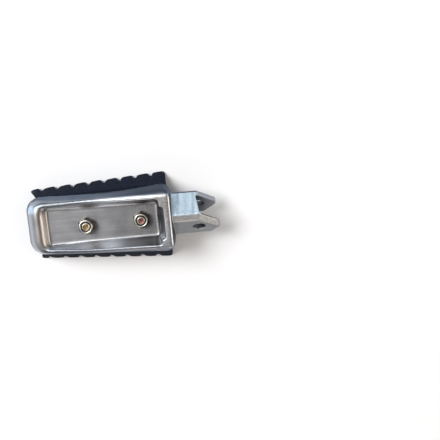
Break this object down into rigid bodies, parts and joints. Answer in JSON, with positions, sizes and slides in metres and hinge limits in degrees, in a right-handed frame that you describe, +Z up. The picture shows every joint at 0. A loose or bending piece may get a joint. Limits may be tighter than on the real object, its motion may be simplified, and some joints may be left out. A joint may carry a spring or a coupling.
{
  "type": "motorcycle foot peg",
  "caption": "Rider's foot peg with a ribbed rubber tread, a hollow cast body and a forked hinge end for a folding pivot pin.",
  "frame": {"origin": "under the middle of the whole peg's bounding box, on the plane of the tread's ribs", "axes": "+X along the peg towards its hinge fork, +Y across it, +Z up from the tread's ribs to the open underside of the casting"},
  "size_m": [0.1278, 0.0596, 0.0341],
  "materials": {
    "casting": "tumbled satin",
    "rubber": "moulded matt",
    "plate": "plain",
    "stud": "yellow zinc plated steel",
    "nut": "zinc plated",
    "nylon": "plain"
  },
  "bodies": {
    "root": {"footpeg_casting": "casting", "tread_rubber": "rubber", "backing_plate": "plate", "stud_outer": "stud", "nut_outer": "nut", "nylon_ring_outer": "nylon", "stud_inner": "stud", "nut_inner": "nut", "nylon_ring_inner": "nylon"}
  },
  "joints": []
}
